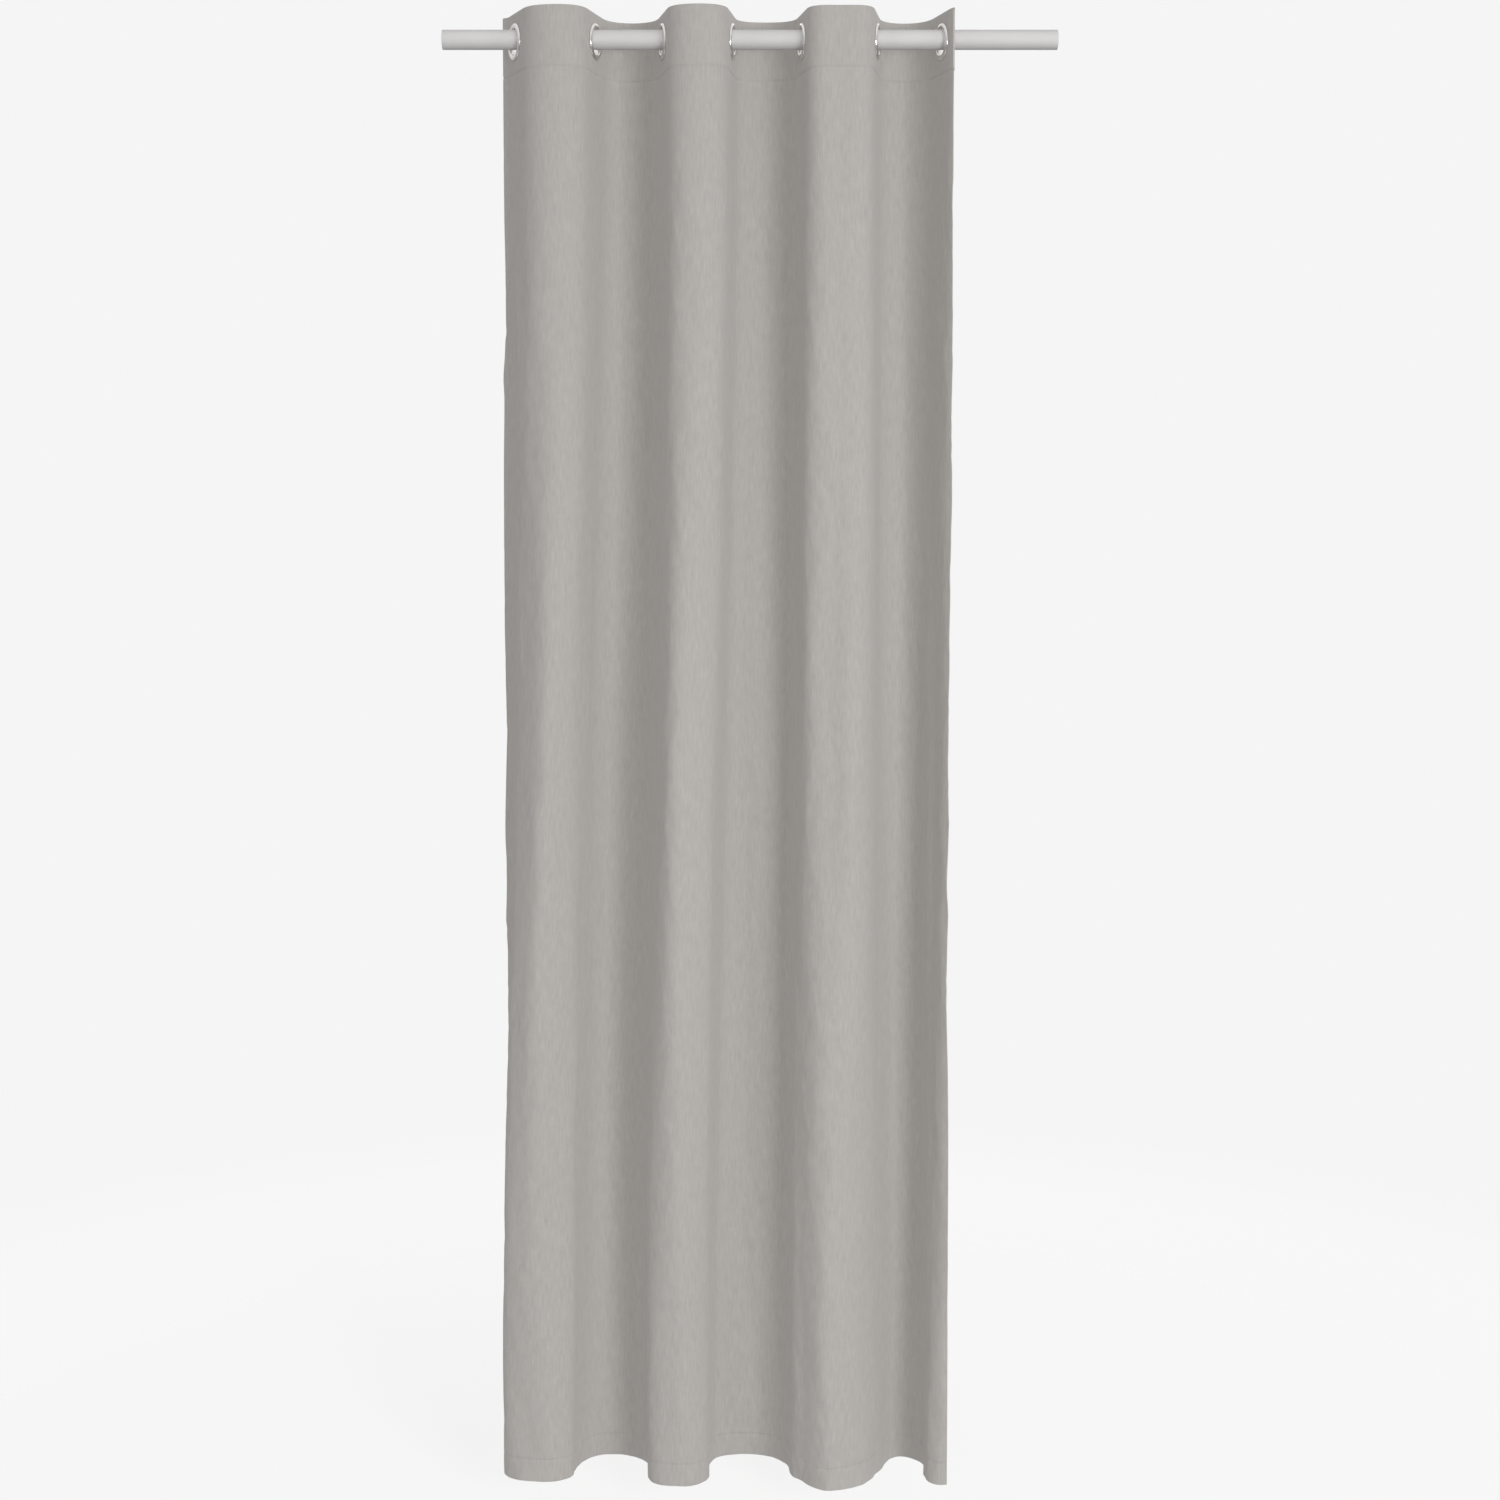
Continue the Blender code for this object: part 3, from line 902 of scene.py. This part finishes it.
    def bend_between(self, bay: int) -> tuple[tuple[float, float, float], tuple[float, float, float]]:
        """Where a bay starts and stops bending when an eyelet slides.

        The eyelet lines lean along the pole towards the hem, so the bend's direction is turned by their
        mean lean. It starts and stops half as far inside the bay as the lines stray from that lean, so
        neighbours stay together down the whole drop.

        Args:
            bay: The bay's number.
        """
        wave = self.sheet.wave
        depth = np.linspace(0, wave.drop, 50)[:, None]
        lines = wave.eased(depth, wave.eyelet_x, wave.eyelet_x + wave.hem_shift)[:, bay - 1 : bay + 1]
        lean = (lines[-1] - lines[0]).mean() / wave.drop
        stray = lines - lean * depth - lines[0]
        first = lines[0, 0] + stray[:, 0].max() / 2
        last = lines[0, 1] + stray[:, 1].min() / 2
        reach = (last - first) / (1 + lean**2)
        top = float(self.sheet.top_z)
        return (float(first), 0.0, top), (float(first + reach), 0.0, float(top + lean * reach))

    def carry(self, item: bpy.types.Object, strip: Strip) -> None:
        """Let an edge strip ride on its outer eyelet; a bay's bend is worked out but not used, and the bay
        stays where it is.
        """
        number = strip.number
        if strip is Strip.EDGE_LEFT:
            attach(item, "slider_1")
        elif strip is Strip.EDGE_RIGHT:
            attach(item, "slider_7")
        else:
            start, end = self.bend_between(number)
            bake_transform(item)

    def make_cloth(self, strip: Strip) -> bpy.types.Object:
        """The turned sheet of one strip."""
        depth, offset, run = self.rows()
        item = self.surface(f"cloth_{strip.value}_sewn", strip, self.columns(strip), depth, offset, run)
        self.thicken(item, self.thickness)
        self.finishes.dress(item, Finish.FACE)
        nodes = [f"cloth_{strip.value}", f"heading_facing_{strip.value}", f"bottom_hem_{strip.value}"]
        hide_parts(*nodes)
        return item

    def make_tape(self, strip: Strip) -> bpy.types.Object:
        """The stiffening tape inside one strip's heading."""
        wave = self.sheet.wave
        depth = np.linspace(self.tape_top, wave.heading - self.tape_foot, 26)
        offset = np.full(len(depth), self.tape_offset)
        item = self.surface(f"tape_{strip.value}_stiff", strip, self.columns(strip), depth, offset, depth)
        self.thicken(item, self.inner_thickness)
        self.finishes.dress(item, Finish.TAPE)
        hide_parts(f"heading_tape_{strip.value}")
        return item

    def make_side_hem(self, strip: Strip) -> bpy.types.Object:
        """The turned-in hem down one side edge, with its rolled outer edge."""
        wave = self.sheet.wave
        left = strip is Strip.EDGE_LEFT
        side = "left" if left else "right"
        reach = np.linspace(self.side_hem, self.foot_roll, 9)
        roll = np.linspace(0, math.pi, 7)[1:]
        in_by, offset = self.half_roll(roll, self.foot_roll, self.hem_offset, 0.0)
        lines = np.concatenate((reach, in_by[:-1], (self.foot_roll,)))
        sink = np.concatenate((np.full(len(reach), self.hem_offset), offset))
        sink = np.minimum(sink, -self.inner_thickness)
        lengths = lines if left else wave.width - lines[::-1]
        sink = sink if left else sink[::-1]
        depth = np.linspace(wave.heading + 0.0005, wave.drop - self.bottom_hem - 0.0005, 150)
        across, down = np.meshgrid(lengths, depth)
        points = self.sheet.at(across, down, np.broadcast_to(sink, across.shape))
        uv = np.stack((across, down), axis=-1)
        name = f"side_hem_{side}_sewn"
        item = make_mesh(name, points.reshape(-1, 3), grid_faces(*across.shape), uv.reshape(-1, 2))
        self.thicken(item, self.inner_thickness)
        self.finishes.dress(item, Finish.FACE)
        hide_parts(f"side_hem_{side}")
        return item

    def stitch_line(
        self, lengths: Array, depths: Array, sides: tuple[float, float, float]
    ) -> tuple[Array, Array]:
        """Lock stitches along a seam.

        Each stitch is a short thread arch, a half sine that leaves the cloth and goes back in, with a
        four-sided section.

        Args:
            lengths: Middle of each stitch across the sheet.
            depths: Middle of each stitch below the top edge.
            sides: Direction of the seam as (across, down), then the base offset from the face.

        Returns:
            Points and faces of all the stitches.
        """
        across, down, base = sides
        stretch = np.linspace(-0.5, 0.5, 5)
        ring = np.linspace(0, 2 * math.pi, 4, endpoint=False) + math.pi / 4
        long, thick = self.stitch_long, self.stitch_thick
        rise = self.stitch_rise * np.cos(stretch * math.pi)
        facing = 1 if base > -0.0005 else -1
        side = thick * np.cos(ring)
        lift = thick * np.sin(ring)
        along = long * stretch[None, :, None]
        length = lengths[:, None, None] + across * along + down * side[None, None, :]
        depth = depths[:, None, None] + down * along + across * side[None, None, :]
        height = base + facing * (rise[None, :, None] + lift[None, None, :]) + 0 * length
        points = self.sheet.at(length, depth, height)
        one = grid_faces(len(stretch), len(ring), closed=True)
        count = len(stretch) * len(ring)
        faces = (one[None] + (np.arange(len(lengths)) * count)[:, None, None]).reshape(-1, 4)
        return points.reshape(-1, 3), faces

    def make_stitches(self, strip: Strip) -> bpy.types.Object:
        """All the stitches of one strip, as one piece of thread."""
        wave = self.sheet.wave
        start, end = self.limits(strip)
        pitch = self.stitch_pitch
        middles = np.arange(start + pitch / 2, end, pitch)
        face = self.thickness / 2 - self.stitch_sink
        behind = self.thickness / 2 + self.stitch_clear
        runs = [
            (middles, np.full(len(middles), seam), (1.0, 0.0, base))
            for seam, base in (
                (self.head_seam, face),
                (self.foot_seam, face),
                (self.head_seam, self.facing_offset - behind),
                (self.foot_seam, self.hem_offset - behind),
            )
        ]
        if strip.is_edge:
            down = np.arange(wave.heading + 0.004, wave.drop - self.bottom_hem - 0.002, pitch)
            at = self.side_hem - 0.002
            line = np.full(len(down), at if strip is Strip.EDGE_LEFT else wave.width - at)
            runs.append((line, down, (0.0, 1.0, self.hem_offset - behind)))
        points, faces, total = [], [], 0
        for lengths, depths, sides in runs:
            some, quads = self.stitch_line(lengths, depths, sides)
            points.append(some)
            faces.append(quads + total)
            total += len(some)
        place = np.concatenate(points)
        item = make_mesh(f"stitches_{strip.value}", place, np.concatenate(faces), place[:, [0, 2]])
        self.finishes.dress(item, Finish.THREAD)
        return item

    def build(self) -> None:
        """Build and carry every piece of the panel."""
        for strip in Strip:
            made = [self.make_cloth(strip), self.make_tape(strip), self.make_stitches(strip)]
            if strip.is_edge:
                made.append(self.make_side_hem(strip))
            for item in made:
                self.carry(item, strip)
            LOG.info("%s: %d pieces", strip.value, len(made))


# ---------------------------------------------------------------- hardware

@dataclass
class Eyelet:
    """One clamped eyelet: a domed rim with its barrel, and the washer that closes it at the back.

    Attributes:
        number: 1 at the left.
        centre: Middle of the hole in the face cloth.
        angle: Direction of the cloth at the eyelet.
        bore, rim: Inner and outer radius.
        rim_height: How far the dome stands above its seat on the face.
        wall: Thickness of the metal.
        seat, washer_seat: Offset of the rim's and the washer's flat side from the face's middle.
        washer_height: How far the washer stands behind its seat.
        around: Points round a ring.
    """

    number: int
    centre: tuple[float, float, float]
    angle: float
    finishes: Finishes
    bore: float = 0.0210
    rim: float = 0.0300
    rim_height: float = 0.0034
    wall: float = 0.0007
    seat: float = 0.0005
    washer_seat: float = -0.0025
    washer_height: float = 0.0022
    around: int = 96

    def revolve(self, name: str, outline: Array) -> bpy.types.Object:
        """Turn a closed outline of (radius, height) about the eyelet's axis.

        Args:
            name: The piece's name.
            outline: Points of the outline, shaped (n, 2), in order round it.

        Returns:
            A closed ring whose axis is the cloth's room-side normal.
        """
        turn = np.linspace(0, 2 * math.pi, self.around, endpoint=False)[:, None, None]
        radius, height = outline[None, :, :1], outline[None, :, 1:]
        normal = np.array((math.sin(self.angle), -math.cos(self.angle), 0.0))
        along = np.array((math.cos(self.angle), math.sin(self.angle), 0.0))
        points = (
            np.array(self.centre)
            + radius * np.cos(turn) * along
            + radius * np.sin(turn) * np.array((0.0, 0.0, 1.0))
            + height * normal
        )
        faces = grid_faces(self.around + 1, len(outline), closed=True) % (self.around * len(outline))
        return self.outward(make_mesh(name, points.reshape(-1, 3), faces))

    def outward(self, item: bpy.types.Object) -> bpy.types.Object:
        """Turn the faces outwards if the ring's signed volume is negative."""
        item.data.calc_loop_triangles()
        count = len(item.data.loop_triangles)
        corners = np.empty(count * 3, dtype=np.int32)
        item.data.loop_triangles.foreach_get("vertices", corners)
        flat = np.empty(len(item.data.vertices) * 3)
        item.data.vertices.foreach_get("co", flat)
        a, b, c = flat.reshape(-1, 3)[corners.reshape(-1, 3)].transpose(1, 0, 2)
        if np.einsum("ij,ij->i", a, np.cross(b, c)).sum() < 0:
            item.data.flip_normals()
        return item

    def rim_outline(self) -> Array:
        """Rim and barrel: a dome that rolls under at its outer edge and runs smoothly down the bore."""
        middle = (self.bore + self.rim) / 2
        half = (self.rim - self.bore) / 2
        dome_angle = np.radians(np.linspace(0, 180, 25))
        squared = np.abs(np.cos(dome_angle)) ** 0.80 * np.sign(np.cos(dome_angle))
        rise = self.seat + self.rim_height * np.sin(dome_angle) ** 0.85
        dome = np.stack((middle + half * squared, rise), 1)
        end = self.washer_seat - self.washer_height - 0.0002
        barrel = np.array([(self.bore, self.seat - 0.0006), (self.bore, end)])
        flare = np.array([(self.bore + self.wall * 0.5, end - 0.0004), (self.bore + self.wall, end)])
        inside = np.array([
            (self.bore + self.wall, self.seat),
            (self.bore + self.wall + 0.0006, self.seat + 0.0010),
            (self.rim - 0.0012, self.seat + 0.0010),
            (self.rim - 0.0008, self.seat),
        ])
        return np.concatenate((dome, barrel, flare, inside))

    def washer_outline(self) -> Array:
        """Washer: flat against the cloth, with a low domed back and a turned-down inner lip."""
        inner = self.bore + self.wall + 0.0002
        outer = self.rim - 0.0002
        arc = np.radians(np.linspace(0, 180, 17))
        middle = (inner + outer) / 2
        half = (outer - inner) / 2
        rise = self.washer_seat - self.washer_height * np.sin(arc) ** 0.8
        back = np.stack((middle + half * np.cos(arc), rise), 1)
        return back[::-1]

    def build(self) -> None:
        """Build the rim and the washer, dress them and let them ride on the eyelet's slider."""
        rim = self.revolve(f"eyelet_rim_{self.number}", self.rim_outline())
        washer = self.revolve(f"eyelet_back_{self.number}", self.washer_outline())
        for item, node in ((rim, f"eyelet_{self.number}"), (washer, f"eyelet_washer_{self.number}")):
            self.finishes.dress(item, Finish.NICKEL)
            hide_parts(node)
            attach(item, f"slider_{self.number}")
        LOG.info("eyelet %d at x %.3f", self.number, self.centre[0])


@dataclass
class Pole:
    """The straight round pole, with softened ends.

    Attributes:
        around: Points round the pole.
        soften: Radius of its end edges.
        margin: From each end to the first plain ring.
    """

    finishes: Finishes
    around: int = 128
    soften: float = 0.0008
    margin: float = 0.01

    def build(self) -> None:
        """Carry a circle along the pole, drawn in at both ends to a rounded edge and a flat face."""
        low, high = (np.array(corner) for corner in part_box("pole"))
        middle = (low + high) / 2
        radius = (high[2] - low[2]) / 2
        bend = np.radians(np.linspace(0, 90, 7))
        first = np.concatenate(((0,), radius - self.soften * (1 - np.sin(bend))))
        x_first = np.concatenate(((0,), self.soften * (1 - np.cos(bend)))) + low[0]
        along = np.linspace(low[0] + self.margin, high[0] - self.margin, 40)
        x = np.concatenate((x_first, along, (low[0] + high[0]) - x_first[::-1]))
        r = np.concatenate((first, np.full(len(along), radius), first[::-1]))
        r = np.maximum(r, 1e-5)
        turn = np.linspace(0, 2 * math.pi, self.around, endpoint=False)
        points = np.stack((
            x[:, None] + 0 * turn[None, :],
            middle[1] + r[:, None] * np.cos(turn)[None, :],
            middle[2] + r[:, None] * np.sin(turn)[None, :],
        ), axis=-1)
        faces = grid_faces(len(x), self.around, closed=True)
        item = make_mesh("pole_painted", points.reshape(-1, 3), faces[:, ::-1])
        item.data.set_sharp_from_angle(angle=math.radians(60))
        self.finishes.dress(item, Finish.POLE)
        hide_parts("pole")
        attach(item, "pole")
        LOG.info("pole %.0f mm long, %.1f mm thick", (high[0] - low[0]) * 1000, radius * 2000)


# ---------------------------------------------------------------- studio

@dataclass
class Studio:
    """Pale floor, soft light and the camera.

    Attributes:
        distance: Camera to the pole's plane.
        eye_z: Height of the camera relative to the pole.
        lens: Focal length on a 36 mm sensor.
        pitch: Degrees that the camera looks down.
        shift_y: Vertical shift of the view, as a share of its width.
        floor_z: Height of the floor.
        ambient: Share of the surround's brightness that falls on matte surfaces.
        mirrored: The same in gloss, from below and from above.
        surround: Its grey.
        floor_grey, floor_glow: The floor's base grey and its own brightness.
        floor_fade: Distances from the middle where the floor starts and stops fading out.
        middle: Middle of the panel, which the lights face.
    """

    distance: float = 3.90
    eye_z: float = -0.75
    lens: float = 56.355
    pitch: float = 4.25
    shift_y: float = -0.05
    floor_z: float = -2.47
    ambient: float = 0.38
    mirrored: tuple[float, float] = (0.35, 1.05)
    surround: float = 0.913
    floor_grey: float = 0.30
    floor_glow: float = 0.64
    floor_fade: tuple[float, float] = (0.5, 2.6)
    middle: tuple[float, float, float] = (0.0, 0.0, -1.2)

    def build_camera(self) -> None:
        """Make the camera and set it as the scene's."""
        data = bpy.data.cameras.new("camera")
        data.lens = self.lens
        data.sensor_width = 36.0
        data.shift_y = self.shift_y
        camera = new_object("camera", data)
        camera.location = (0.0, -self.distance, self.eye_z)
        camera.rotation_euler = (math.radians(90 - self.pitch), 0.0, 0.0)
        bpy.context.scene.camera = camera

    def build_light(self, name: str, place: tuple[float, float, float], size: float, power: float) -> None:
        """Add a square soft light that faces the panel's middle."""
        data = bpy.data.lights.new(name, "AREA")
        data.shape = "SQUARE"
        data.size = size
        data.energy = power
        light = new_object(name, data)
        light.location = place
        aim = Vector(self.middle) - Vector(place)
        light.rotation_euler = aim.to_track_quat("-Z", "Y").to_euler()

    def build_fill(self, name: str, azimuth: float, height: float, strength: float) -> None:
        """Add a broad even fill that casts no shadow.

        Args:
            name: The light's name.
            azimuth: Degrees that it stands to the right of the camera.
            height: Degrees that it stands above the level.
            strength: Its brightness.
        """
        data = bpy.data.lights.new(name, "SUN")
        data.energy = strength
        data.angle = math.radians(40)
        data.use_shadow = False
        light = new_object(name, data)
        light.rotation_euler = (math.radians(90 - height), 0.0, math.radians(azimuth))
        light.visible_glossy = False

    def build_world(self) -> None:
        """An off-white surround.

        It is seen at full brightness, lights matte surfaces at `ambient` of it, and is mirrored brighter
        from above than from below.
        """
        world = bpy.data.worlds.new("studio_world")
        world.use_nodes = True
        sheet = NodeSheet(world.node_tree)
        back = world.node_tree.nodes["Background"].inputs
        back["Color"].default_value = (*[self.surround] * 3, 1.0)
        rays = sheet.add("ShaderNodeLightPath").outputs
        direction = sheet.add("ShaderNodeTexCoord").outputs["Generated"]
        towards = sheet.add("ShaderNodeSeparateXYZ", {0: direction}).outputs["Z"]
        mirrored = sheet.remap(sheet.math("MULTIPLY_ADD", towards, 0.8, 0.5), *self.mirrored)
        unseen = sheet.math("MULTIPLY", sheet.math("SUBTRACT", 1.0, rays["Is Camera Ray"]), mirrored)
        bright = sheet.math("ADD", unseen, rays["Is Camera Ray"])
        lit = sheet.math("MULTIPLY", rays["Is Diffuse Ray"], self.ambient)
        other = sheet.math("MULTIPLY", sheet.math("SUBTRACT", 1.0, rays["Is Diffuse Ray"]), bright)
        sheet.feed(sheet.math("ADD", lit, other), back["Strength"])
        bpy.context.scene.world = world

    def build_floor(self) -> None:
        """A pale round floor under the hem, which fades out to the surround."""
        bpy.ops.mesh.primitive_circle_add(vertices=96, radius=9.0, fill_type="NGON", location=(0, 0, 0))
        floor = bpy.context.object
        floor.name = "studio_floor"
        floor.data.transform(Matrix.Translation((0, 0, self.floor_z)))
        material, sheet, shader = new_material("studio_floor_paint")
        place = sheet.add("ShaderNodeTexCoord").outputs["Object"]
        ends = {0: place, 1: (0.0, 0.0, self.floor_z)}
        reach = sheet.add("ShaderNodeVectorMath", ends, operation="DISTANCE").outputs["Value"]
        near, far = self.floor_fade
        inputs = {"Value": reach, "From Min": near, "From Max": far, "To Min": 1.0, "To Max": 0.0}
        fade = sheet.add("ShaderNodeMapRange", inputs, interpolation_type="SMOOTHSTEP")
        sheet.fill(shader, {
            "Base Color": (*[self.floor_grey] * 3, 1.0),
            "Roughness": 1.0,
            "Specular IOR Level": 0.0,
            "Emission Color": (1.0, 1.0, 1.0, 1.0),
            "Emission Strength": self.floor_glow,
            "Alpha": fade.outputs["Result"],
        })
        floor.data.materials.append(material)
        floor.visible_diffuse = False

    def build(self) -> None:
        """Set up the whole studio."""
        self.build_world()
        self.build_camera()
        self.build_floor()
        self.build_light("key_box", (1.9, -4.1, -0.9), 1.4, 94.0)
        self.build_light("back_box", (0.0, 3.6, 0.2), 2.4, 30.0)
        for name, azimuth, height, strength in (
            ("left_fill", -60.0, 12.0, 1.2),
            ("front_fill", 0.0, 12.0, 0.5),
            ("right_fill", 60.0, 12.0, 1.35),
            ("back_fill", 180.0, 20.0, 1.9),
        ):
            self.build_fill(name, azimuth, height, strength)
        scene = bpy.context.scene
        scene.view_settings.view_transform = "Standard"
        scene.view_settings.look = "None"


def main() -> None:
    """Build the studio, the pole, the eyelets and the panel in order."""
    logging.basicConfig(level=logging.INFO, format="%(name)s: %(message)s")
    Studio().build()
    finishes = Finishes()
    wave = HangingWave()
    low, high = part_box("eyelet_1")
    eyelet_z = (low[2] + high[2]) / 2
    sheet = HungSheet(wave=wave, top_z=eyelet_z + HungSheet.eyelet_depth)
    sheet.lay()
    sheet.settle()
    Pole(finishes).build()
    for number, x in enumerate(wave.eyelet_x, start=1):
        side = -1 if number % 2 else 1
        angle = side * math.radians(wave.turn[number - 1])
        Eyelet(number, (float(x), 0.0, float(eyelet_z)), angle, finishes).build()
    Panel(sheet, finishes).build()


if __name__ == "__main__":
    main()
